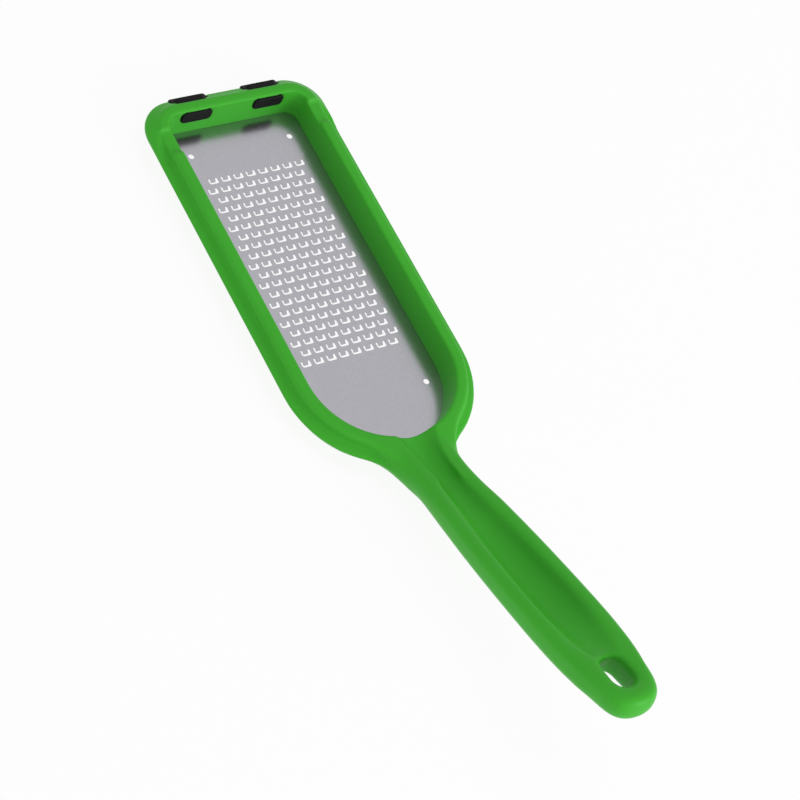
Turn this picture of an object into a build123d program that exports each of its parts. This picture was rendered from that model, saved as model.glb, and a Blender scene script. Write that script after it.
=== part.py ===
from build123d import *
from math import atan2, cos, degrees, radians, sin, sqrt, tan
import os

# Rasp zester, in millimetres.
# The zest side faces up, +Y runs from the handle to the tip, +X to the right.
# The origin is under the middle of the whole tool, on the plane that the frame lies on.

# Head, seen from above: a long frame with a half round neck end
head_half_width = 35.6
tip_y = 136.4
corner_radius = 13.2
neck_centre_y = 14.8

# Frame section: a bevel up to the flange, a sloping shoulder, then the rim
bevel_inset = 5.0
bevel_height = 7.0
flange_height = 8.0
flange_edge_radius = 0.8
shoulder_inset = 3.5
shoulder_height = 8.6
rim_height = 12.3
rim_edge_radius = 1.3
rim_inner_radius = 0.7
wall_foot_inset = 9.1
wall_taper = 6.4
window_inset = 8.9

# Fill that lifts the shoulder across the tip and fades out behind the corners
tip_edge_height = 8.7
tip_fill_height = 11.5
tip_fill_taper = 54.0
tip_fill_start_y = 109.0
tip_fill_full_y = 128.0

# Etched sheet and its seat in the frame
sheet_thickness = 0.4
sheet_bottom = 1.2
sheet_inset = 6.4

# Teeth: staggered rows, each tongue hinged on its tip side and bent to the grating side
tooth_columns = 8
tooth_rows = 20
column_pitch = 5.0
row_pitch = 4.1
row_stagger = 1.0
first_row_y = 105.0
slot_width = 3.5
slot_length = 2.6
slot_offset_y = 0.45
tongue_width = 2.1
tongue_length = 1.75
tongue_drop = 0.85
locating_hole_radius = 1.1
locating_hole_x = 20.0
locating_hole_ys = (117.0, 9.2)

# Neck: the handle leaves the head level and flares into it on both steps
neck_half_width = 10.45
neck_root_y = -30.6
neck_wedge_y = -34.5
neck_wedge_half_width = 8.0
flange_flare = 17.0
rim_flare = 25.0

# Handle: a flat bar that leaves the neck level, bends up and rises towards the zest side
handle_angle = 19.1
handle_start = (0.0, -29.6, 9.9)
handle_thickness = 10.4
handle_overlap = 32.0
handle_length = 114.1
bend_radius = 70.0
bend_level = 11.8
grip_half_width = 12.7
end_half_width = 10.6
end_extra_thickness = 0.8
end_cap_length = 15.3
top_edge_radius = 2.2
bottom_edge_radius = 5.6

# Thumb channel: place along Y, half width and depth below the top there
channel_stations = (
    (-9.0, 9.3, 3.2),
    (-13.0, 7.6, 3.1),
    (-19.0, 5.8, 3.4),
    (-28.0, 4.5, 4.1),
    (-46.0, 5.0, 4.9),
    (-66.0, 6.7, 6.3),
    (-85.0, 7.5, 6.9),
    (-99.0, 7.3, 6.0),
    (-108.0, 6.6, 4.2),
    (-115.0, 5.1, 1.7),
)
channel_end_y = -123.0
channel_end_radius = 12.0

# Hanging hole, straight down through the end of the handle
hole_width = 7.8
hole_length = 12.4
hole_y = -123.0
hole_top_radius = 2.1
hole_bottom_radius = 0.9

# Rim notches near the tip
notch_length = 10.0
notch_y = 118.2
notch_depth = 1.3

# Rubber feet in the end wall, the pad's section as distance from its outer face and height
foot_x = 14.5
pad_width = 15.3
pad_proud = 0.6
pad_section = ((3.4, 3.2), (1.8, 3.2), (0.0, 6.6), (0.0, 8.8), (3.4, 10.6))
pad_end_radius = 1.3
plug_width = 12.0
plug_height = 4.9
plug_centre_z = 8.75
plug_corner = 1.8
plug_face_y = 127.6
plug_edge_radius = 0.4

rise = tan(radians(handle_angle))
half_thickness = handle_thickness / 2
handle_plane = Plane(
    origin=handle_start,
    x_dir=(1, 0, 0),
    z_dir=(0, sin(radians(handle_angle)), cos(radians(handle_angle))),
)


def head_outline(inset, height):
    """Outline of the head, a given distance inside the flange's edge."""
    half = head_half_width - inset
    corner = corner_radius - inset
    top = tip_y - inset
    diagonal = corner * (1 - 1 / sqrt(2))
    with BuildSketch(Plane.XY.offset(height)) as outline:
        with BuildLine():
            ThreePointArc((-half, neck_centre_y), (0, neck_centre_y - half), (half, neck_centre_y))
            Line((half, neck_centre_y), (half, top - corner))
            ThreePointArc(
                (half, top - corner), (half - diagonal, top - diagonal), (half - corner, top)
            )
            Line((half - corner, top), (corner - half, top))
            ThreePointArc(
                (corner - half, top), (diagonal - half, top - diagonal), (-half, top - corner)
            )
            Line((-half, top - corner), (-half, neck_centre_y))
        make_face()
    return outline.sketch


def head_with_neck(inset, height, flare):
    """The head's outline with the root of the handle and a flare on each side of it."""
    with BuildSketch(Plane.XY.offset(height)) as outline:
        add(head_outline(inset, 0))
        with BuildLine():
            Polyline(
                (-neck_half_width, neck_centre_y),
                (neck_half_width, neck_centre_y),
                (neck_half_width, neck_root_y),
                (neck_wedge_half_width, neck_wedge_y),
                (-neck_wedge_half_width, neck_wedge_y),
                (-neck_half_width, neck_root_y),
                close=True,
            )
        make_face()
        ring = head_half_width - inset
        meet_y = neck_centre_y - sqrt(ring**2 - neck_half_width**2)
        corners = [v for v in outline.vertices() if abs(v.Y - meet_y) < 0.01]
        fillet(corners, flare)
    return outline.sketch


def flat_at(height):
    """Picks the edges that lie flat at one height, but not the neck's end."""

    def picks(edge):
        level = all(abs(v.Z - height) < 0.01 for v in edge.vertices())
        return level and edge.center().Y > neck_wedge_y + 0.1

    return picks


# Head: bevel, flange, shoulder and rim, one on the other
bevel_taper = degrees(atan2(bevel_inset, bevel_height))
shoulder_taper = degrees(atan2(shoulder_inset, shoulder_height - flange_height))

with BuildPart() as head_body:
    flange_outline = head_with_neck(0, bevel_height, flange_flare)
    extrude(flange_outline, amount=-bevel_height, taper=bevel_taper)
    extrude(flange_outline, amount=flange_height - bevel_height)
    extrude(
        head_with_neck(0, flange_height, flange_flare),
        amount=shoulder_height - flange_height,
        taper=shoulder_taper,
    )
    fillet(head_body.edges().filter_by(flat_at(flange_height)), flange_edge_radius)
    extrude(
        head_with_neck(shoulder_inset, bevel_height, rim_flare),
        amount=rim_height - bevel_height,
    )
    fillet(head_body.edges().filter_by(flat_at(rim_height)), rim_edge_radius)
    # Nothing of the neck hangs below the handle's sloping underside
    with BuildSketch(handle_plane.offset(-half_thickness)):
        Rectangle(8 * neck_half_width, 160)
    extrude(amount=-60, mode=Mode.SUBTRACT)

# Fill over the shoulder at the tip, cut to a ramp that dies out behind the corners
with BuildPart() as tip_fill:
    extrude(head_outline(0, bevel_height), amount=tip_edge_height - bevel_height)
    extrude(
        head_outline(0, tip_edge_height),
        amount=tip_fill_height - tip_edge_height,
        taper=tip_fill_taper,
    )
    fillet(tip_fill.edges().filter_by(flat_at(tip_edge_height)), flange_edge_radius)
    with BuildSketch(Plane.YZ):
        with BuildLine():
            Polyline(
                (tip_fill_start_y, bevel_height),
                (tip_y + 5, bevel_height),
                (tip_y + 5, rim_height),
                (tip_fill_full_y, rim_height),
                close=True,
            )
        make_face()
    extrude(amount=head_half_width + 5, both=True, mode=Mode.INTERSECT)


def slope_height(side, y):
    """Height of the sloping bar's top (side 1) or bottom (side -1) at a place along Y."""
    middle = handle_start[2] + (handle_start[1] - y) * rise
    return middle + side * half_thickness / cos(radians(handle_angle))


def bend_corner(side):
    """Where the level run of the bar's top or bottom would meet its slope, as (y, z)."""
    level = bend_level - (1 - side) * half_thickness
    return (handle_start[1] - (level - slope_height(side, handle_start[1])) / rise, level)


def bar_profile(side):
    """Side view of the bar's top or bottom, its level run first, still without the bend."""
    corner_y, level = bend_corner(side)
    end_y = handle_start[1] - handle_length
    end_z = slope_height(side, end_y) + min(side, 0) * end_extra_thickness
    return ((2 * handle_overlap, level), (corner_y, level), (end_y, end_z))


# Handle bar: a waisted grip with a rounded end, cut out of a band that is bent at the neck
with BuildPart() as handle_bar:
    with BuildSketch(handle_plane.offset(-1.5 * handle_thickness)):
        with BuildLine():
            grip_end = handle_length - end_cap_length
            side = Spline(
                (neck_half_width, 0),
                (grip_half_width - 0.9, -0.31 * grip_end),
                (grip_half_width, -0.62 * grip_end),
                (end_half_width, -grip_end),
                tangents=((0, -1), (-0.22, -1)),
            )
            Spline(
                side @ 1,
                (0.86 * end_half_width, -grip_end - 0.6 * end_cap_length),
                (0, -handle_length),
                tangents=((-0.22, -1), (-1, 0)),
            )
            Polyline(
                (0, -handle_length),
                (0, handle_overlap),
                (neck_half_width, handle_overlap),
                (neck_half_width, 0),
            )
        make_face()
        mirror(about=Plane.YZ)
    extrude(amount=3 * handle_thickness)
    with BuildSketch(Plane.YZ.offset(-2 * grip_half_width)):
        with BuildLine():
            top = FilletPolyline(*bar_profile(1), radius=bend_radius - half_thickness)
            bottom = FilletPolyline(*bar_profile(-1), radius=bend_radius + half_thickness)
            Line(top @ 0, bottom @ 0)
            Line(top @ 1, bottom @ 1)
        make_face()
    extrude(amount=4 * grip_half_width, mode=Mode.INTERSECT)
    for radius, side in ((top_edge_radius, 1), (bottom_edge_radius, -1)):
        skin = [face for face in handle_bar.faces() if side * face.normal_at().Z > 0.5]
        edges = [edge for face in skin for edge in face.edges()]
        fillet(
            [
                edge
                for edge in edges
                if sum(edge.is_same(other) for other in edges) == 1 and edge.center().Y < 0
            ],
            radius,
        )
    # The hanging hole goes straight down, so it crosses the sloping bar at an angle
    with BuildSketch(Plane.XY):
        with Locations((0, hole_y)):
            SlotOverall(hole_length, hole_width, rotation=90)
    extrude(amount=80, mode=Mode.SUBTRACT)
    for number, radius in ((-1, hole_top_radius), (0, hole_bottom_radius)):
        pierced = [face for face in handle_bar.faces() if face.inner_wires()]
        skin = ShapeList(pierced).sort_by(Axis(handle_start, handle_plane.z_dir))[number]
        fillet(skin.inner_wires()[0].edges(), radius)

# Rubber foot on the right: a plug through the end wall and a pad wrapped round its edge
with BuildPart() as plug:
    with BuildSketch(Plane.XZ.offset(-plug_face_y)):
        with Locations((foot_x, plug_centre_z)):
            RectangleRounded(plug_width, plug_height, plug_corner)
    extrude(amount=plug_face_y - tip_y + 1)
    fillet(plug.faces().sort_by(Axis.Y)[0].edges(), plug_edge_radius)

with BuildPart() as pad:
    with BuildSketch(Plane.YZ.offset(foot_x - pad_width / 2)):
        with BuildLine():
            Polyline(*[(tip_y + pad_proud - inset, z) for inset, z in pad_section], close=True)
        make_face()
    extrude(amount=pad_width)
    ends = pad.faces().filter_by(Axis.X)
    inner = pad.faces().sort_by(Axis.Y)[0].edges()
    fillet([edge for edge in ends.edges() if edge not in inner], pad_end_radius)

with BuildPart() as foot_right:
    add(plug.part)
    add(pad.part)


def top_height(y):
    """Height of the moulding's top over a place along its middle."""
    corner_y, level = bend_corner(1)
    radius = bend_radius - half_thickness
    run_in = corner_y + radius * tan(radians(handle_angle / 2)) - y
    if run_in <= 0:
        return rim_height
    bend = level + radius - sqrt(radius**2 - min(run_in, radius * sin(radians(handle_angle))) ** 2)
    return max(rim_height, bend, slope_height(1, y))


# Frame and handle in one moulding
with BuildPart() as frame_handle:
    add(head_body.part)
    add(tip_fill.part)
    add(handle_bar.part)
    # Level underside
    with BuildSketch(Plane.XY):
        Rectangle(4 * head_half_width, 4 * tip_y)
    extrude(amount=-20, mode=Mode.SUBTRACT)
    # Tray, window and the seat of the sheet between them
    sheet_top = sheet_bottom + sheet_thickness
    extrude(
        head_outline(wall_foot_inset, sheet_top),
        amount=rim_height - sheet_top + 1,
        taper=-wall_taper,
        mode=Mode.SUBTRACT,
    )
    extrude(head_outline(window_inset, 0), amount=sheet_bottom, mode=Mode.SUBTRACT)
    extrude(head_outline(sheet_inset, sheet_bottom), amount=sheet_thickness, mode=Mode.SUBTRACT)
    wall_lean = (rim_height - sheet_top) * tan(radians(wall_taper))
    reach = head_half_width - wall_foot_inset + wall_lean + 0.1
    inner_edges = [
        edge
        for edge in frame_handle.edges().filter_by(flat_at(rim_height))
        if all(abs(v.X) < reach and v.Y > neck_centre_y - reach for v in edge.vertices())
    ]
    fillet(inner_edges, rim_inner_radius)
    # Recesses that the feet fill
    add(foot_right.part, mode=Mode.SUBTRACT)
    mirror(foot_right.part, about=Plane.YZ, mode=Mode.SUBTRACT)
    # Shallow notch across each long rim
    with Locations((0, notch_y, rim_height)):
        Box(
            2 * head_half_width - 2,
            notch_length,
            2 * notch_depth,
            mode=Mode.SUBTRACT,
        )
    # Thumb channel, a loft through circles that stand across the handle
    for y, half_width, depth in channel_stations:
        radius = (half_width**2 + depth**2) / (2 * depth)
        with BuildSketch(Plane.XZ.offset(-y)):
            with Locations((0, top_height(y) - depth + radius)):
                Circle(radius)
    with BuildSketch(Plane.XZ.offset(-channel_end_y)):
        with Locations((0, top_height(channel_end_y) + 0.2 + channel_end_radius)):
            Circle(channel_end_radius)
    loft(mode=Mode.SUBTRACT)

# Etched sheet: openings first, then the tongues bent down from them
tooth_spots = [
    (
        (column - (tooth_columns - 1) / 2) * column_pitch + (row_stagger, -row_stagger)[row % 2],
        first_row_y - row * row_pitch,
    )
    for row in range(tooth_rows)
    for column in range(tooth_columns)
]
hole_spots = [(x, y) for x in (-locating_hole_x, locating_hole_x) for y in locating_hole_ys]

hinge_y = slot_offset_y + slot_length / 2

with BuildPart() as tongue:
    with BuildSketch(Plane.YZ.offset(-tongue_width / 2)):
        with BuildLine():
            Polyline(
                (hinge_y, sheet_bottom),
                (hinge_y, sheet_top),
                (hinge_y - tongue_length, sheet_top - tongue_drop),
                (hinge_y - tongue_length, sheet_bottom - tongue_drop),
                close=True,
            )
        make_face()
    extrude(amount=tongue_width)

with BuildPart() as blade:
    with BuildSketch(Plane.XY.offset(sheet_bottom)):
        add(head_outline(sheet_inset, 0))
        with Locations(*[(x, y + slot_offset_y) for x, y in tooth_spots]):
            Rectangle(slot_width, slot_length, mode=Mode.SUBTRACT)
        with Locations(*hole_spots):
            Circle(locating_hole_radius, mode=Mode.SUBTRACT)
    extrude(amount=sheet_thickness)
    with Locations(*tooth_spots):
        add(tongue.part, clean=False)

with BuildPart() as foot_left:
    mirror(foot_right.part, about=Plane.YZ)

os.makedirs("parts", exist_ok=True)
frame_handle.part.label = "frame_handle"
blade.part.label = "blade"
foot_left.part.label = "foot_left"
foot_right.part.label = "foot_right"
export_step(frame_handle.part, "parts/frame_handle.step")
export_step(blade.part, "parts/blade.step")
export_step(foot_left.part, "parts/foot_left.step")
export_step(foot_right.part, "parts/foot_right.step")
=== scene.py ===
import math

import bmesh
import bpy
import numpy as np
from mathutils import Matrix, Vector
from mathutils.geometry import tessellate_polygon


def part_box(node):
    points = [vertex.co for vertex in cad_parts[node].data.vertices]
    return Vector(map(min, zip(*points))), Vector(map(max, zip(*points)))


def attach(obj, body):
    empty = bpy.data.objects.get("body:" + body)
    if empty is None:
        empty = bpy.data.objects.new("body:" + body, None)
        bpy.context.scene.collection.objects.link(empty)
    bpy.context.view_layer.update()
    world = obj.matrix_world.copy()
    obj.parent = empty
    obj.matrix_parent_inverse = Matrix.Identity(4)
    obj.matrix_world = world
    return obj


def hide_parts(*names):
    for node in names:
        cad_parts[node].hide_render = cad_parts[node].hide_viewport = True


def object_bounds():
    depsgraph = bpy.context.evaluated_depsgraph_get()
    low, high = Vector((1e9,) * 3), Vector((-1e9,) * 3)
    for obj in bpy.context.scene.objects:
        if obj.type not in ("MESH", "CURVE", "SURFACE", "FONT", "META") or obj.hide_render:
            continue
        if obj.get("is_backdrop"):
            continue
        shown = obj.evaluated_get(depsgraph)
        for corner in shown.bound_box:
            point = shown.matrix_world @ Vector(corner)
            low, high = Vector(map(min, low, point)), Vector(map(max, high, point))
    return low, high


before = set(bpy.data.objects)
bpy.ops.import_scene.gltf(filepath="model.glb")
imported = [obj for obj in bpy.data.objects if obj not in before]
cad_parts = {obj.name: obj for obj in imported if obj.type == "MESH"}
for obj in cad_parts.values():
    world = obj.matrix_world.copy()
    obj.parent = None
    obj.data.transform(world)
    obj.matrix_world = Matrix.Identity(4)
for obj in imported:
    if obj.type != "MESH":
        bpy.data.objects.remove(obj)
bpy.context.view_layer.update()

bl_info = {
    "name": "Rasp zester",
    "version": (1, 0, 0),
    "blender": (4, 5, 0),
    "location": "3D View > Sidebar > Zester",
    "description": "Dresses a packed rasp zester with its etched teeth, finishes, stage and camera",
    "category": "Object",
}

MM = 0.001

# How finely round outlines are divided
NECK_STEPS = 48
CORNER_STEPS = 10
HOLE_STEPS = 24
SLOT_CORNER_STEPS = 3
TONGUE_BENDS = 5


# Colours and nodes

def linear(hex_colour):
    """Turns an sRGB hex colour into the linear RGBA that a shader takes."""
    channels = [int(hex_colour[i:i + 2], 16) / 255 for i in (1, 3, 5)]
    return (*[c / 12.92 if c <= 0.04045 else ((c + 0.055) / 1.055) ** 2.4 for c in channels], 1.0)


def add_node(tree, kind, settings=None, values=None, links=None):
    """Adds a node with its properties, its unlinked inputs and its links from other sockets."""
    node = tree.nodes.new(kind)
    for name, value in (settings or {}).items():
        setattr(node, name, value)
    for name, value in (values or {}).items():
        node.inputs[name].default_value = value
    for name, socket in (links or {}).items():
        tree.links.new(socket, node.inputs[name])
    return node


def new_material(name):
    """Makes an empty node material and gives it with its tree."""
    material = bpy.data.materials.new(name)
    material.use_nodes = True
    material.node_tree.nodes.clear()
    return material, material.node_tree


def cells_per_metre(size_mm):
    """Noise scale at which one cell is about this many millimetres across."""
    return 1 / (size_mm * MM)


def seen_directly(tree):
    """1 for rays from the camera, from gloss and through glass, 0 for the light on other things."""
    rays = add_node(tree, "ShaderNodeLightPath").outputs
    seen = add_node(tree, "ShaderNodeMath", {"operation": "MAXIMUM"},
                    links={0: rays["Is Camera Ray"], 1: rays["Is Glossy Ray"]})
    seen_all = add_node(tree, "ShaderNodeMath", {"operation": "MAXIMUM"},
                        links={0: seen.outputs[0], 1: rays["Is Transmission Ray"]})
    return seen_all.outputs[0]


# Materials

def moulded_polypropylene(colours):
    """Satin polypropylene, injection moulded in a spark-eroded mould.

    The mould's fine grain spreads the highlights, the colour is even with a faint cloudiness,
    and handling has polished the skin a little in patches.
    """
    cloud_mm, wave_mm = 22, 9
    # The real grain is under 0.1 mm, too fine for the render, so it is drawn coarser.
    grain_mm = 0.45
    material, tree = new_material("moulded_polypropylene")
    place = add_node(tree, "ShaderNodeTexCoord").outputs["Object"]
    clouds = add_node(tree, "ShaderNodeTexNoise",
                      values={"Scale": cells_per_metre(cloud_mm), "Detail": 3.0},
                      links={"Vector": place})
    grain = add_node(tree, "ShaderNodeTexNoise",
                     values={"Scale": cells_per_metre(grain_mm), "Detail": 2.0},
                     links={"Vector": place})
    waves = add_node(tree, "ShaderNodeTexNoise",
                     values={"Scale": cells_per_metre(wave_mm), "Detail": 1.0},
                     links={"Vector": place})
    colour = add_node(tree, "ShaderNodeMix", {"data_type": "RGBA"},
                      {6: linear(colours.green_shade), 7: linear(colours.green)},
                      {0: clouds.outputs["Fac"]})
    polish = add_node(tree, "ShaderNodeMapRange",
                      values={"From Min": 0.3, "From Max": 0.7, "To Min": 0.36, "To Max": 0.46},
                      links={"Value": clouds.outputs["Fac"]})
    ripple = add_node(tree, "ShaderNodeBump", values={"Strength": 0.06, "Distance": 0.25 * MM},
                      links={"Height": waves.outputs["Fac"]})
    skin = add_node(tree, "ShaderNodeBump", values={"Strength": 0.10, "Distance": 0.02 * MM},
                    links={"Height": grain.outputs["Fac"], "Normal": ripple.outputs["Normal"]})
    shader = add_node(tree, "ShaderNodeBsdfPrincipled",
                      values={"IOR": 1.49, "Specular IOR Level": 0.14},
                      links={"Base Color": colour.outputs[2], "Roughness": polish.outputs["Result"],
                             "Normal": skin.outputs["Normal"]})
    add_node(tree, "ShaderNodeOutputMaterial", links={"Surface": shader.outputs["BSDF"]})
    return material


def etched_stainless(colours):
    """Thin rolled stainless sheet, teeth etched through and bent.

    The mill's rolling leaves fine streaks along the sheet, and the etching bath leaves it satin,
    so it mirrors the walls only as soft smears.
    """
    # Rolling lines and etch pits are under 0.1 mm on the real sheet, and are drawn coarser to show.
    streak_mm, streak_stretch = 0.35, 25
    mottle_mm = 1.1
    material, tree = new_material("etched_stainless")
    place = add_node(tree, "ShaderNodeTexCoord").outputs["Object"]
    stretched = add_node(tree, "ShaderNodeMapping", values={"Scale": (1.0, 1 / streak_stretch, 1.0)},
                         links={"Vector": place})
    streaks = add_node(tree, "ShaderNodeTexNoise",
                       values={"Scale": cells_per_metre(streak_mm), "Detail": 3.0},
                       links={"Vector": stretched.outputs["Vector"]})
    mottle = add_node(tree, "ShaderNodeTexNoise",
                      values={"Scale": cells_per_metre(mottle_mm), "Detail": 4.0},
                      links={"Vector": place})
    colour = add_node(tree, "ShaderNodeMix", {"data_type": "RGBA"},
                      {6: linear(colours.steel_shade), 7: linear(colours.steel)},
                      {0: mottle.outputs["Fac"]})
    satin = add_node(tree, "ShaderNodeMapRange", values={"To Min": 0.19, "To Max": 0.26},
                     links={"Value": streaks.outputs["Fac"]})
    rolling = add_node(tree, "ShaderNodeBump", values={"Strength": 0.05, "Distance": 0.01 * MM},
                       links={"Height": streaks.outputs["Fac"]})
    etch = add_node(tree, "ShaderNodeBump", values={"Strength": 0.05, "Distance": 0.02 * MM},
                    links={"Height": mottle.outputs["Fac"], "Normal": rolling.outputs["Normal"]})
    shader = add_node(tree, "ShaderNodeBsdfPrincipled", values={"Metallic": 1.0},
                      links={"Base Color": colour.outputs[2], "Roughness": satin.outputs["Result"],
                             "Normal": etch.outputs["Normal"]})
    add_node(tree, "ShaderNodeOutputMaterial", links={"Surface": shader.outputs["BSDF"]})
    return material


def moulded_rubber(colours):
    """Black thermoplastic rubber, moulded matt, with a dusty bloom where it is rubbed."""
    bloom_mm = 3
    # The real grain is under 0.1 mm, too fine for the render, so it is drawn coarser.
    grain_mm = 0.3
    material, tree = new_material("moulded_rubber")
    place = add_node(tree, "ShaderNodeTexCoord").outputs["Object"]
    bloom = add_node(tree, "ShaderNodeTexNoise",
                     values={"Scale": cells_per_metre(bloom_mm), "Detail": 4.0},
                     links={"Vector": place})
    grain = add_node(tree, "ShaderNodeTexNoise",
                     values={"Scale": cells_per_metre(grain_mm), "Detail": 2.0},
                     links={"Vector": place})
    colour = add_node(tree, "ShaderNodeMix", {"data_type": "RGBA"},
                      {6: linear(colours.rubber), 7: linear(colours.rubber_bloom)},
                      {0: bloom.outputs["Fac"]})
    matt = add_node(tree, "ShaderNodeMapRange", values={"To Min": 0.55, "To Max": 0.75},
                    links={"Value": bloom.outputs["Fac"]})
    skin = add_node(tree, "ShaderNodeBump", values={"Strength": 0.25, "Distance": 0.03 * MM},
                    links={"Height": grain.outputs["Fac"]})
    shader = add_node(tree, "ShaderNodeBsdfPrincipled",
                      values={"IOR": 1.52, "Specular IOR Level": 0.15},
                      links={"Base Color": colour.outputs[2], "Roughness": matt.outputs["Result"],
                             "Normal": skin.outputs["Normal"]})
    add_node(tree, "ShaderNodeOutputMaterial", links={"Surface": shader.outputs["BSDF"]})
    return material


def white_laminate(stage):
    """White laminate board, matt: it keeps the shadow, and looks white to the camera and in steel."""
    grain_mm = 2
    material, tree = new_material("white_laminate")
    place = add_node(tree, "ShaderNodeTexCoord").outputs["Object"]
    grain = add_node(tree, "ShaderNodeTexNoise",
                     values={"Scale": cells_per_metre(grain_mm), "Detail": 2.0},
                     links={"Vector": place})
    skin = add_node(tree, "ShaderNodeBump", values={"Strength": 0.05, "Distance": 0.02 * MM},
                    links={"Height": grain.outputs["Fac"]})
    board = add_node(tree, "ShaderNodeBsdfDiffuse", values={"Color": linear(stage.floor)},
                     links={"Normal": skin.outputs["Normal"]})
    white = add_node(tree, "ShaderNodeEmission", values={"Color": (1, 1, 1, 1), "Strength": 1.0})
    share = add_node(tree, "ShaderNodeMapRange",
                     values={"To Min": stage.floor_glow, "To Max": stage.floor_white},
                     links={"Value": seen_directly(tree)})
    mixed = add_node(tree, "ShaderNodeMixShader",
                     links={0: share.outputs[0], 1: board.outputs[0], 2: white.outputs[0]})
    add_node(tree, "ShaderNodeOutputMaterial", links={"Surface": mixed.outputs[0]})
    return material


# Meshes

def made_real(piece):
    """Turns an object's evaluated geometry into its own plain mesh and drops its modifiers."""
    bpy.context.view_layer.update()
    graph = bpy.context.evaluated_depsgraph_get()
    data = bpy.data.meshes.new_from_object(piece.evaluated_get(graph))
    piece.modifiers.clear()
    piece.data = data
    return piece


def new_piece(name, mesh):
    """Makes an object of a finished bmesh, and frees it."""
    data = bpy.data.meshes.new(name)
    mesh.to_mesh(data)
    mesh.free()
    piece = bpy.data.objects.new(name, data)
    bpy.context.scene.collection.objects.link(piece)
    return piece


# The moulding

def ring_prism(outlines, bottom, top):
    """A closed flat ring between an outer and an inner outline of equally many points."""
    mesh = bmesh.new()
    rings = [[mesh.verts.new((x, y, z)) for x, y in outline] for z in (bottom, top) for outline in outlines]
    count = len(outlines[0])
    for a, b in ((0, 1), (1, 3), (3, 2), (2, 0)):
        for i in range(count):
            j = (i + 1) % count
            mesh.faces.new((rings[a][i], rings[a][j], rings[b][j], rings[b][i]))
    bmesh.ops.recalc_face_normals(mesh, faces=mesh.faces)
    return mesh


def closed_skin(sheet, sizes):
    """The moulding's own solid as one even skin, moulded solid round the sheet's edge."""
    outlines = (head_curve(sheet, -sizes.edge_overlap), head_curve(sheet, sizes.sheet_grip))
    shell = ring_prism(outlines, sheet.sheet_top - sheet.sheet_thickness - sizes.face_overlap,
                       sheet.sheet_top + sizes.face_overlap)
    shell.from_mesh(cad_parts["frame_handle"].data)
    piece = new_piece("frame_handle_skin", shell)
    remesh = piece.modifiers.new("skin", "REMESH")
    remesh.mode = "VOXEL"
    remesh.voxel_size = sizes.skin_cell
    return made_real(piece)


def softness(place, sizes):
    """How fast each point softens, and how freely its standing edges give way."""
    across, along = np.abs(place[:, 0]), place[:, 1]

    def inside(*depths):
        """1 well inside all of these borders, dying out towards the nearest one."""
        return np.clip(np.minimum.reduce(depths) / sizes.zone_fade, 0, 1)

    reach = 1 - ((along - sizes.neck_y) / sizes.neck_reach) ** 2
    neck = np.clip(reach, 0, 1) * inside(across - sizes.channel_x + sizes.zone_fade)
    belly = neck * (place[:, 2] < sizes.belly_height)
    channel = inside(sizes.channel_x - across, sizes.neck_y - along, along - sizes.hole_zone_y)
    hole = inside(sizes.channel_x - across, sizes.hole_zone_y + sizes.zone_fade - along)
    cap = np.clip((sizes.cap_y - along) / sizes.cap_fade, 0, 1)
    notch = (across > sizes.notch_x) & (np.abs(along - sizes.notch_y) < sizes.notch_reach)
    rate = np.maximum.reduce([
        sizes.soft_rate * np.where(notch, sizes.notch_share, 1), neck * sizes.neck_rate,
        belly * sizes.belly_rate, channel * sizes.channel_rate, hole * sizes.hole_rate,
        cap * sizes.cap_rate,
    ])
    side = sizes.side_give * neck ** 2
    free = np.maximum.reduce([belly, side, channel, hole, cap])
    give = sizes.edge_give + (1 - sizes.edge_give) * free
    return rate[:, None], give[:, None]


def soften(data, sizes):
    """Rounds creases: hollow ones are filled freely, standing edges give way only a little."""
    count = len(data.vertices)
    place = np.empty(count * 3)
    data.vertices.foreach_get("co", place)
    place = place.reshape(count, 3)
    ends = np.empty(len(data.edges) * 2, dtype=int)
    data.edges.foreach_get("vertices", ends)
    ends = ends.reshape(-1, 2)
    links = np.bincount(ends.ravel(), minlength=count)[:, None]
    low, high = (np.array(corner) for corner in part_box("frame_handle"))
    base = place[:, 2] < low[2] + sizes.base_band
    rate, give = softness(place, sizes)
    for turn in range(-sizes.even_turns, sizes.soften_turns):
        evening = turn < 0
        total = np.zeros_like(place)
        for axis in range(3):
            total[:, axis] = (np.bincount(ends[:, 0], place[ends[:, 1], axis], count)
                              + np.bincount(ends[:, 1], place[ends[:, 0], axis], count))
        move = (total / links - place) * (sizes.even_rate if evening else rate)
        data.vertices.foreach_set("co", place.ravel())
        data.update()
        normal = np.empty(count * 3)
        data.vertex_normals.foreach_get("vector", normal)
        normal = normal.reshape(count, 3)
        outward = np.sum(move * normal, axis=1)[:, None]
        if not evening:
            move = move - np.where(outward < 0, outward * (1 - give), 0) * normal
        move[base, 2] = 0
        place = np.clip(place + move, low, high)
    data.vertices.foreach_set("co", place.ravel())
    data.update()


def thinned(piece, share):
    """Leaves this share of a piece's faces and keeps it inside the moulding's own box."""
    thinning = piece.modifiers.new("thinning", "DECIMATE")
    thinning.ratio = share
    made_real(piece)
    low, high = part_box("frame_handle")
    for vertex in piece.data.vertices:
        vertex.co = [min(max(value, a), b) for value, a, b in zip(vertex.co, low, high)]


# The etched sheet

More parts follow.
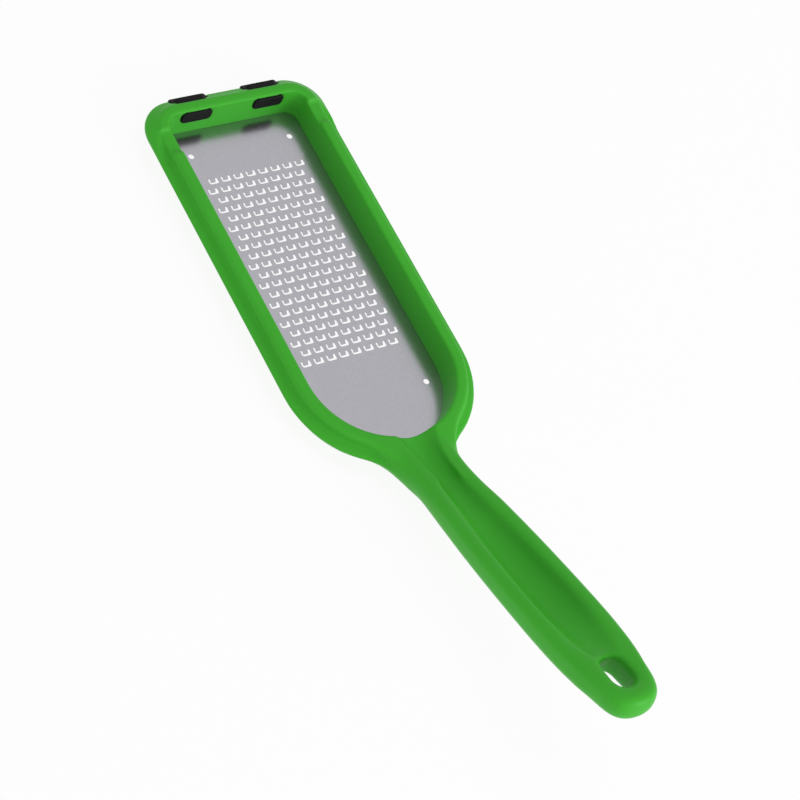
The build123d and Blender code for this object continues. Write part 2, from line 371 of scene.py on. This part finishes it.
def head_curve(sizes, inset):
    """Outline of the sheet: straight sides, rounded tip corners and a half round neck end."""
    low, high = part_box("blade")
    half, tip = high.x - inset, high.y - inset
    corner = sizes.sheet_corner - inset
    centre_y = low.y + high.x
    points = []
    for x, y, radius, start, sweep, count in (
        (0, centre_y, half, 180, 180, NECK_STEPS),
        (half - corner, tip - corner, corner, 0, 90, CORNER_STEPS),
        (corner - half, tip - corner, corner, 90, 90, CORNER_STEPS),
    ):
        for step in range(count + 1):
            angle = math.radians(start + sweep * step / count)
            points.append((x + radius * math.cos(angle), y + radius * math.sin(angle)))
    return points


def field_edge(sizes):
    """Stepped outline of the field of tooth tiles, with a point wherever a tile has one."""
    half = sizes.columns * sizes.column_pitch / 2
    step = sizes.row_stagger
    sides = {1: [], -1: []}
    for side in sides:
        for row in range(sizes.rows):
            shift = step if row % 2 == 0 else -step
            x = side * half + shift
            y = sizes.first_row_y - row * sizes.row_pitch
            if row:
                sides[side].append((side * half, y + sizes.row_pitch / 2))
            sides[side].append((x, y + sizes.row_pitch / 2))
            sides[side].append((x, y - sizes.row_pitch / 2))
    count = round(2 * half / step)

    def between(start, end):
        """The points of a straight run of tiles, without its two ends."""
        return [(start[0] + (end[0] - start[0]) * i / count, start[1]) for i in range(1, count)]

    left, right = sides[-1], sides[1]
    return left + between(left[-1], right[-1]) + right[::-1] + between(right[0], left[0])


def locating_holes(sizes):
    """Outlines of the four locating holes."""
    turns = [2 * math.pi * i / HOLE_STEPS for i in range(HOLE_STEPS)]
    centres = ((-sizes.hole_left_x, sizes.hole_tip_y), (-sizes.hole_hidden_x, sizes.hole_neck_y),
               (sizes.hole_right_x, sizes.hole_tip_y), (sizes.hole_right_x, sizes.hole_neck_y))
    return [[(x + sizes.hole_radius * math.cos(t), y + sizes.hole_radius * math.sin(t)) for t in turns]
            for x, y in centres]


def sheet_border(sizes):
    """The sheet round the field of teeth, with its locating holes, open where the field goes."""
    field = field_edge(sizes)
    rings = [head_curve(sizes, 0), field, *locating_holes(sizes)]
    mesh = bmesh.new()
    layers = []
    faces = tessellate_polygon([[Vector((x, y, 0)) for x, y in ring] for ring in rings])
    for z in (sizes.sheet_top, sizes.sheet_top - sizes.sheet_thickness):
        layers.append([mesh.verts.new((x, y, z)) for ring in rings for x, y in ring])
        for corners in faces:
            mesh.faces.new([layers[-1][i] for i in corners])
    first = 0
    for ring in rings:
        if ring is not field:
            for i in range(len(ring)):
                a, b = first + i, first + (i + 1) % len(ring)
                mesh.faces.new((layers[0][a], layers[0][b], layers[1][b], layers[1][a]))
        first += len(ring)
    return new_piece("blade_sheet", mesh)


def rounded_opening(sizes):
    """Outline of a tooth's opening, anticlockwise from the hinge's right end, in metres."""
    half = sizes.slot_width / 2
    hinge = sizes.tongue_length
    low = hinge - sizes.slot_length
    half_tongue = sizes.tongue_width / 2
    points = [(half_tongue, hinge), (-half_tongue, hinge)]
    corners = ((-half, hinge, -1, 1, sizes.slot_corner / 2), (-half, low, -1, -1, sizes.slot_corner),
               (half, low, 1, -1, sizes.slot_corner), (half, hinge, 1, 1, sizes.slot_corner / 2))
    for count, (x, y, side, end, radius) in enumerate(corners):
        start = math.pi / 2 * (count + 1)
        for step in range(SLOT_CORNER_STEPS + 1):
            angle = start + math.pi / 2 * step / SLOT_CORNER_STEPS
            points.append((x - side * radius + radius * math.cos(angle),
                           y - end * radius + radius * math.sin(angle)))
    return points


def tooth_tile(sizes):
    """One tooth with the patch of sheet round it, open at the patch's edges."""
    half_x, half_y = sizes.column_pitch / 2, sizes.row_pitch / 2
    steps = round(sizes.column_pitch / sizes.row_stagger)
    across = [-half_x + sizes.column_pitch * i / steps for i in range(steps + 1)]
    patch = [(x, -half_y) for x in across] + [(x, half_y) for x in reversed(across)]
    opening = rounded_opening(sizes)
    mesh = bmesh.new()
    layers = []
    faces = tessellate_polygon([[Vector((x, y, 0)) for x, y in ring] for ring in (patch, opening)])
    for z in (sizes.sheet_top, sizes.sheet_top - sizes.sheet_thickness):
        layers.append([mesh.verts.new((x, y, z)) for x, y in patch + opening])
        for corners in faces:
            mesh.faces.new([layers[-1][i] for i in corners])
    first = len(patch)
    for i in range(1, len(opening)):
        a, b = first + i, first + (i + 1) % len(opening)
        mesh.faces.new((layers[0][a], layers[0][b], layers[1][b], layers[1][a]))
    tongue_sections(mesh, sizes, [layer[first + i] for layer in layers for i in (0, 1)])
    bmesh.ops.recalc_face_normals(mesh, faces=mesh.faces)
    return new_piece("tooth_tile", mesh)


def tongue_sections(mesh, sizes, hinge):
    """Skins the tongue from its hinge to its cutting edge, bent down and thinned at the end."""
    section = hinge
    for step in range(1, TONGUE_BENDS + 1):
        along = step / TONGUE_BENDS
        y = sizes.tongue_length * (1 - along)
        z = sizes.sheet_top - sizes.tongue_drop * along ** sizes.tongue_curl
        thickness = sizes.sheet_thickness * (1 - sizes.edge_thinning * along ** 3)
        half = sizes.tongue_width / 2 * (1 - sizes.tongue_taper * along ** 2)
        following = [mesh.verts.new((x, y, z - low)) for low in (0, thickness) for x in (half, -half)]
        for a, b in ((0, 1), (1, 3), (3, 2), (2, 0)):
            mesh.faces.new((section[a], section[b], following[b], following[a]))
        section = following
    mesh.faces.new((section[0], section[1], section[3], section[2]))


def tooth_field_tree(material):
    """Geometry Nodes: instances the tooth tile on a staggered grid and joins it to the sheet."""
    tree = bpy.data.node_groups.new("tooth_field", "GeometryNodeTree")
    sockets = tree.interface
    sockets.new_socket("Sheet", in_out="INPUT", socket_type="NodeSocketGeometry")
    kinds = {"Tile": "Object", "Columns": "Int", "Rows": "Int", "Column Pitch": "Float",
             "Row Pitch": "Float", "Stagger": "Float", "Middle": "Vector", "Weld": "Float"}
    for name, kind in kinds.items():
        sockets.new_socket(name, in_out="INPUT", socket_type="NodeSocket" + kind)
    sockets.new_socket("Blade", in_out="OUTPUT", socket_type="NodeSocketGeometry")
    given = add_node(tree, "NodeGroupInput").outputs

    # The grid of tooth places
    spans = []
    for count, pitch in (("Columns", "Column Pitch"), ("Rows", "Row Pitch")):
        gaps = add_node(tree, "ShaderNodeMath", {"operation": "SUBTRACT"}, {1: 1}, {0: given[count]})
        span = add_node(tree, "ShaderNodeMath", {"operation": "MULTIPLY"},
                        links={0: gaps.outputs[0], 1: given[pitch]})
        spans.append(span.outputs[0])
    grid = add_node(tree, "GeometryNodeMeshGrid",
                    links={"Size X": spans[0], "Size Y": spans[1], "Vertices X": given["Columns"],
                           "Vertices Y": given["Rows"]})

    # Rows shift to the right and to the left in turn, the one nearest the tip to the right
    index = add_node(tree, "GeometryNodeInputIndex").outputs["Index"]
    row = add_node(tree, "ShaderNodeMath", {"operation": "MODULO"}, links={0: index, 1: given["Rows"]})
    last = add_node(tree, "ShaderNodeMath", {"operation": "SUBTRACT"}, {1: 1}, {0: given["Rows"]})
    from_tip = add_node(tree, "ShaderNodeMath", {"operation": "SUBTRACT"},
                        links={0: last.outputs[0], 1: row.outputs[0]})
    odd = add_node(tree, "ShaderNodeMath", {"operation": "MODULO"}, {1: 2}, {0: from_tip.outputs[0]})
    side = add_node(tree, "ShaderNodeMath", {"operation": "MULTIPLY_ADD"}, {1: -2, 2: 1},
                    {0: odd.outputs[0]})
    shift = add_node(tree, "ShaderNodeMath", {"operation": "MULTIPLY"},
                     links={0: side.outputs[0], 1: given["Stagger"]})
    offset = add_node(tree, "ShaderNodeCombineXYZ", links={"X": shift.outputs[0]})
    place = add_node(tree, "ShaderNodeVectorMath", {"operation": "ADD"},
                     links={0: offset.outputs["Vector"], 1: given["Middle"]})
    moved = add_node(tree, "GeometryNodeSetPosition",
                     links={"Geometry": grid.outputs["Mesh"], "Offset": place.outputs["Vector"]})

    # A tile at each place, welded to its neighbours and to the sheet
    tile = add_node(tree, "GeometryNodeObjectInfo", values={"As Instance": True},
                    links={"Object": given["Tile"]})
    teeth = add_node(tree, "GeometryNodeInstanceOnPoints",
                     links={"Points": moved.outputs["Geometry"], "Instance": tile.outputs["Geometry"]})
    joined = add_node(tree, "GeometryNodeJoinGeometry")
    tree.links.new(teeth.outputs["Instances"], joined.inputs["Geometry"])
    tree.links.new(given["Sheet"], joined.inputs["Geometry"])
    real = add_node(tree, "GeometryNodeRealizeInstances", links={"Geometry": joined.outputs["Geometry"]})
    weld = add_node(tree, "GeometryNodeMergeByDistance",
                    links={"Geometry": real.outputs["Geometry"], "Distance": given["Weld"]})
    finish = add_node(tree, "GeometryNodeSetMaterial", values={"Material": material},
                      links={"Geometry": weld.outputs["Geometry"]})
    add_node(tree, "NodeGroupOutput", links={"Blade": finish.outputs["Geometry"]})
    return tree


def give_modifier(modifier, values):
    """Sets a Geometry Nodes modifier's inputs by each socket's identifier."""
    for item in modifier.node_group.interface.items_tree:
        if item.item_type == "SOCKET" and item.in_out == "INPUT" and item.name in values:
            modifier[item.identifier] = values[item.name]


# The stage

def floor_board(stage, height):
    """A wide white board under the zester."""
    reach = stage.floor_reach
    data = bpy.data.meshes.new("floor")
    corners = [(x * reach, y * reach, height) for x, y in ((-1, -1), (1, -1), (1, 1), (-1, 1))]
    data.from_pydata(corners, [], [(0, 1, 2, 3)])
    data.materials.append(white_laminate(stage))
    floor = bpy.data.objects.new("floor", data)
    bpy.context.scene.collection.objects.link(floor)
    return floor


def soft_light(name, place, target, size, watts, mirrored):
    """An area light of this size, aimed at a point, that gloss shows or not."""
    light = bpy.data.lights.new(name, "AREA")
    light.size = size
    light.energy = watts
    lamp = bpy.data.objects.new(name, light)
    lamp.location = place
    lamp.rotation_euler = (Vector(target) - Vector(place)).to_track_quat("-Z", "Y").to_euler()
    lamp.visible_glossy = mirrored
    bpy.context.scene.collection.objects.link(lamp)


def studio_world(stage):
    """A plain world: white behind the object and in gloss, dimmer as a light."""
    world = bpy.data.worlds.new("studio")
    world.use_nodes = True
    tree = world.node_tree
    tree.nodes.clear()
    strength = add_node(tree, "ShaderNodeMapRange", values={"To Min": stage.sky_glow, "To Max": 1.0},
                        links={"Value": seen_directly(tree)})
    sky = add_node(tree, "ShaderNodeBackground", values={"Color": (1, 1, 1, 1)},
                   links={"Strength": strength.outputs["Result"]})
    add_node(tree, "ShaderNodeOutputWorld", links={"Surface": sky.outputs[0]})
    return world


def viewing_camera(stage):
    """The camera, turned by its heading, tilt and roll."""
    camera = bpy.data.cameras.new("photo_camera")
    camera.lens = stage.lens
    camera.sensor_width = stage.sensor
    camera.clip_end = stage.sight
    viewer = bpy.data.objects.new("photo_camera", camera)
    look = Vector((math.sin(stage.heading) * math.cos(stage.tilt),
                   math.cos(stage.heading) * math.cos(stage.tilt), -math.sin(stage.tilt)))
    level = look.cross(Vector((0, 0, 1))).normalized()
    level_up = level.cross(look)
    right = level * math.cos(stage.roll) + level_up * math.sin(stage.roll)
    up = right.cross(look)
    turn = Matrix((right, up, -look)).transposed().to_4x4()
    viewer.matrix_world = Matrix.Translation(stage.place) @ turn
    bpy.context.scene.collection.objects.link(viewer)
    return viewer


# Properties

def tint(name, description, value):
    """A colour property, as sRGB hex."""
    return bpy.props.StringProperty(name=name, description=description, default=value)


def length(name, description, millimetres):
    """A length property with its default in millimetres."""
    return bpy.props.FloatProperty(name=name, description=description, default=millimetres * MM,
                                   unit="LENGTH", precision=5)


def factor(name, description, share):
    """A share or rate property, from none to full."""
    return bpy.props.FloatProperty(name=name, description=description, subtype="FACTOR", default=share,
                                   min=0, max=1)


def degrees(name, description, value):
    """An angle property with its default in degrees."""
    return bpy.props.FloatProperty(name=name, description=description, default=math.radians(value),
                                   subtype="ANGLE")


def number(name, description, value):
    """A whole number property."""
    return bpy.props.IntProperty(name=name, description=description, default=value)


def power(name, description, watts):
    """A lamp's power property."""
    return bpy.props.FloatProperty(name=name, description=description, default=watts, unit="POWER")


def point(name, description, millimetres):
    """A place property with its default in millimetres."""
    return bpy.props.FloatVectorProperty(name=name, description=description, subtype="XYZ", unit="LENGTH",
                                         precision=4, default=[value * MM for value in millimetres])


class ZesterColours(bpy.types.PropertyGroup):
    """Colours of the zester, as sRGB hex."""

    green: tint("Green", "Moulding, lit", "#42AF31")
    green_shade: tint("Green, deep", "Moulding's darker clouds", "#3DA62B")
    steel: tint("Steel", "Etched sheet", "#B2B1B7")
    steel_shade: tint("Steel, deep", "Etched sheet's darker mottle", "#A9A8AE")
    rubber: tint("Rubber", "Feet", "#0B0B0D")
    rubber_bloom: tint("Rubber bloom", "Rubbed patches on the feet", "#141315")


class ZesterSheet(bpy.types.PropertyGroup):
    """Sizes of the etched sheet and its teeth."""

    columns: number("Columns", "Teeth across the sheet", 8)
    rows: number("Rows", "Rows of teeth along the sheet", 20)
    column_pitch: length("Column pitch", "Distance from tooth to tooth across the sheet", 5.0)
    row_pitch: length("Row pitch", "Distance from row to row", 4.1)
    row_stagger: length("Stagger", "Sideways shift of each row, to alternate sides", 1.0)
    first_row_y: length("First row", "Place of the row nearest the tip", 105.0)
    slot_width: length("Opening width", "Width of each tooth's opening", 3.7)
    slot_length: length("Opening length", "Length of each tooth's opening", 2.4)
    slot_corner: length("Opening corner", "Corner radius of the opening", 0.7)
    tongue_width: length("Tongue width", "Width of the cutting tongue", 1.96)
    tongue_length: length("Tongue length", "Length of the cutting tongue from its hinge", 1.33)
    tongue_drop: length("Tongue drop", "How far the cutting edge is bent down", 0.56)
    tongue_curl: bpy.props.FloatProperty(name="Tongue curl", default=1.3, min=1.0,
                                         description="1 for a straight tongue, more for a curled one")
    tongue_taper: factor("Tongue taper", "Share of the width lost at the cutting edge", 0.10)
    edge_thinning: factor("Edge thinning", "Share of the thickness lost at the cutting edge", 0.35)
    sheet_corner: length("Sheet corner", "Corner radius of the sheet at the tip", 6.8)
    sheet_thickness: length("Sheet thickness", "Thickness of the steel", 0.4)
    sheet_top: length("Sheet top", "Height of the sheet's upper face", 1.6)
    hole_radius: length("Locating hole", "Radius of the locating holes", 1.1)
    hole_right_x: length("Right holes", "Distance of the right locating holes from the middle line", 20.25)
    hole_left_x: length("Left tip hole", "Distance of the left hole near the tip from that line", 19.8)
    hole_hidden_x: length("Left neck hole", "Distance of the hole behind the wall from that line", 20.5)
    hole_tip_y: length("Tip holes", "Place of the locating holes near the tip", 116.85)
    hole_neck_y: length("Neck holes", "Place of the locating holes near the neck", 9.15)
    weld_gap: length("Weld gap", "Distance within which the teeth's patches join up", 0.01)
    sharp_angle: degrees("Sharp angle", "Bend from which an edge is shaded as sharp", 40)


class ZesterMoulding(bpy.types.PropertyGroup):
    """How softly the moulding's edges run."""

    skin_cell: length("Skin cell", "Size of the skin's cells", 0.4)
    sheet_grip: length("Sheet grip", "How far the moulding holds the sheet's edge", 2.5)
    edge_overlap: length("Edge overlap", "How far its fill reaches beyond the sheet's edge", 0.4)
    face_overlap: length("Face overlap", "How far that fill reaches over and under the sheet", 0.1)
    keep_share: factor("Kept cells", "Share of the skin's faces left once it is soft", 0.45)
    even_turns: number("Evening", "Rounds that take the cells' steps away", 4)
    even_rate: factor("Evening rate", "How far each of those rounds goes", 0.5)
    soften_turns: number("Softening", "Rounds of softening", 120)
    base_band: length("Base band", "Height up to which the underside stays level", 0.3)
    edge_give: factor("Edge give", "How much standing edges are rounded", 0.22)
    soft_rate: factor("Softness", "Softening wherever nothing else is set", 0.03)
    zone_fade: length("Zone fade", "Distance over which a zone's own softening dies out", 3.0)
    neck_rate: factor("Neck softness", "Softening where the frame runs into the handle", 0.70)
    neck_y: length("Neck", "Place where the frame runs into the handle", -33.0)
    neck_reach: length("Neck reach", "How far from there the neck's edges soften", 16.0)
    side_give: factor("Neck give", "How freely the neck's standing edges give way", 0.7)
    belly_rate: factor("Belly softness", "Softening of the neck's underside", 0.85)
    belly_height: length("Belly height", "Height below which the neck counts as underside", 10.0)
    channel_rate: factor("Channel softness", "Softening along the thumb channel", 0.40)
    channel_x: length("Channel side", "Half width of the softened strip along the channel", 10.0)
    hole_rate: factor("Hole softness", "Softening round the hanging hole", 0.10)
    hole_zone_y: length("Hole zone", "Place where the channel's strip ends and the hole's begins", -113.0)
    cap_rate: factor("Cap softness", "Softening of the handle's round end", 0.40)
    cap_y: length("Cap", "Place beyond which the handle's end softens", -119.0)
    cap_fade: length("Cap fade", "Distance over which that softening sets in", 12.0)
    notch_share: factor("Notch share", "Share of the softening that the rim's notches get", 1 / 3)
    notch_x: length("Notch side", "How far out the rim's notches lie", 20.0)
    notch_y: length("Notch place", "Place of the rim's notches", 118.2)
    notch_reach: length("Notch reach", "How far from there the rim keeps its crisp edges", 9.0)


class ZesterStage(bpy.types.PropertyGroup):
    """Camera, lights and floor."""

    heading: degrees("Heading", "Camera's heading, from +Y towards +X", 54.042)
    tilt: degrees("Tilt", "How far the camera looks down", 51.413)
    roll: degrees("Roll", "Camera's turn about its own axis", 31.576)
    place: point("Place", "Camera's place", (-411.09, -298.39, 649.25))
    lens: bpy.props.FloatProperty(name="Lens", description="Focal length", default=110.55, unit="CAMERA")
    sensor: bpy.props.FloatProperty(name="Sensor", description="Width of the sensor", default=36.0,
                                    unit="CAMERA")
    sight: length("Sight", "How far the camera sees", 20000)
    key_place: point("Key place", "Place of the key softbox, which gloss shows", (600, -1400, 550))
    key_size: length("Key size", "Side of the key softbox", 900)
    key_power: power("Key power", "Power of the key softbox", 15.5)
    top_place: point("Top place", "Place of the softbox above", (350, 100, 1600))
    top_size: length("Top size", "Side of the softbox above", 1200)
    top_power: power("Top power", "Power of the softbox above", 6.7)
    side_place: point("Side place", "Place of the low softbox that lights the walls", (-1500, -300, 140))
    side_size: length("Side size", "Side of the low softbox", 240)
    side_power: power("Side power", "Power of the low softbox", 3.6)
    sky_glow: factor("Sky glow", "Strength of the world as a light", 0.48)
    floor: tint("Floor", "Board under the zester", "#F7F7F7")
    floor_reach: length("Floor reach", "How far the floor goes each way", 6000)
    floor_glow: factor("Floor glow", "Share of plain white in the floor as a light", 0.4)
    floor_white: factor("Floor white", "Share of plain white in the floor as it is seen", 0.92)


# Operators

class ZESTER_OT_moulding(bpy.types.Operator):
    """Makes the one-piece frame and handle with soft moulded edges"""

    bl_idname = "zester.moulding"
    bl_label = "Frame and handle"

    def execute(self, context):
        """Skins the solid afresh, softens its creases and gives it its plastic."""
        sizes = context.scene.zester_moulding
        piece = closed_skin(context.scene.zester_sheet, sizes)
        soften(piece.data, sizes)
        thinned(piece, sizes.keep_share)
        for polygon in piece.data.polygons:
            polygon.use_smooth = True
        piece.data.materials.append(moulded_polypropylene(context.scene.zester_colours))
        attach(piece, "root")
        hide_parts("frame_handle")
        return {"FINISHED"}


class ZESTER_OT_blade(bpy.types.Operator):
    """Builds the etched sheet with its rows of bent teeth"""

    bl_idname = "zester.blade"
    bl_label = "Etched blade"

    def execute(self, context):
        """Makes the sheet, fills in the teeth with Geometry Nodes and replaces the plain sheet."""
        sizes = context.scene.zester_sheet
        material = etched_stainless(context.scene.zester_colours)
        piece = sheet_border(sizes)
        tile = tooth_tile(sizes)
        modifier = piece.modifiers.new("tooth_field", "NODES")
        modifier.node_group = tooth_field_tree(material)
        middle_y = sizes.first_row_y - (sizes.rows - 1) * sizes.row_pitch / 2
        give_modifier(modifier, {
            "Tile": tile, "Columns": sizes.columns, "Rows": sizes.rows,
            "Column Pitch": sizes.column_pitch, "Row Pitch": sizes.row_pitch,
            "Stagger": sizes.row_stagger, "Middle": (0.0, middle_y, 0.0), "Weld": sizes.weld_gap,
        })
        made_real(piece)
        bpy.data.objects.remove(tile)
        shell = bmesh.new()
        shell.from_mesh(piece.data)
        bmesh.ops.recalc_face_normals(shell, faces=shell.faces)
        shell.to_mesh(piece.data)
        shell.free()
        for polygon in piece.data.polygons:
            polygon.use_smooth = True
        piece.data.set_sharp_from_angle(angle=sizes.sharp_angle)
        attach(piece, "root")
        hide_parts("blade")
        return {"FINISHED"}


class ZESTER_OT_feet(bpy.types.Operator):
    """Finishes the two rubber feet in the end wall"""

    bl_idname = "zester.feet"
    bl_label = "Rubber feet"

    def execute(self, context):
        """Gives both feet their rubber."""
        material = moulded_rubber(context.scene.zester_colours)
        for name in ("foot_left", "foot_right"):
            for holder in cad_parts[name].material_slots:
                holder.material = material
        return {"FINISHED"}


class ZESTER_OT_stage(bpy.types.Operator):
    """Sets the floor, lights and camera"""

    bl_idname = "zester.stage"
    bl_label = "Stage and camera"

    def execute(self, context):
        """Builds the pale stage and the camera at the viewing angle."""
        stage = context.scene.zester_stage
        low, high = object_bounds()
        floor = floor_board(stage, low.z)
        floor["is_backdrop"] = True
        middle = (low + high) / 2
        soft_light("key_softbox", stage.key_place, middle, stage.key_size, stage.key_power, True)
        soft_light("top_softbox", stage.top_place, middle, stage.top_size, stage.top_power, False)
        soft_light("side_softbox", stage.side_place, middle, stage.side_size, stage.side_power, False)
        context.scene.world = studio_world(stage)
        context.scene.view_settings.view_transform = "Standard"
        bpy.context.scene.camera = viewing_camera(stage)
        return {"FINISHED"}


class ZESTER_PT_panel(bpy.types.Panel):
    """Lists the zester's pieces and their sizes"""

    bl_label = "Rasp zester"
    bl_idname = "ZESTER_PT_panel"
    bl_space_type = "VIEW_3D"
    bl_region_type = "UI"
    bl_category = "Zester"

    def draw(self, context):
        """Draws a button for each operator and a row for each property."""
        for operator in OPERATORS:
            self.layout.operator(operator.bl_idname)
        for name in GROUPS:
            group = getattr(context.scene, name)
            box = self.layout.box()
            for row in group.__annotations__:
                box.prop(group, row)


OPERATORS = (ZESTER_OT_moulding, ZESTER_OT_blade, ZESTER_OT_feet, ZESTER_OT_stage)
GROUPS = {
    "zester_colours": ZesterColours,
    "zester_moulding": ZesterMoulding,
    "zester_sheet": ZesterSheet,
    "zester_stage": ZesterStage,
}
CLASSES = (*GROUPS.values(), *OPERATORS, ZESTER_PT_panel)


def register():
    """Registers the classes and puts the properties on the scene."""
    for kind in CLASSES:
        bpy.utils.register_class(kind)
    for name, group in GROUPS.items():
        setattr(bpy.types.Scene, name, bpy.props.PointerProperty(type=group))


def unregister():
    """Takes the properties and classes away again."""
    for name in GROUPS:
        delattr(bpy.types.Scene, name)
    for kind in reversed(CLASSES):
        bpy.utils.unregister_class(kind)


def main():
    """Runs every operator in order."""
    register()
    bpy.ops.zester.moulding()
    bpy.ops.zester.blade()
    bpy.ops.zester.feet()
    bpy.ops.zester.stage()


if __name__ == "__main__":
    main()
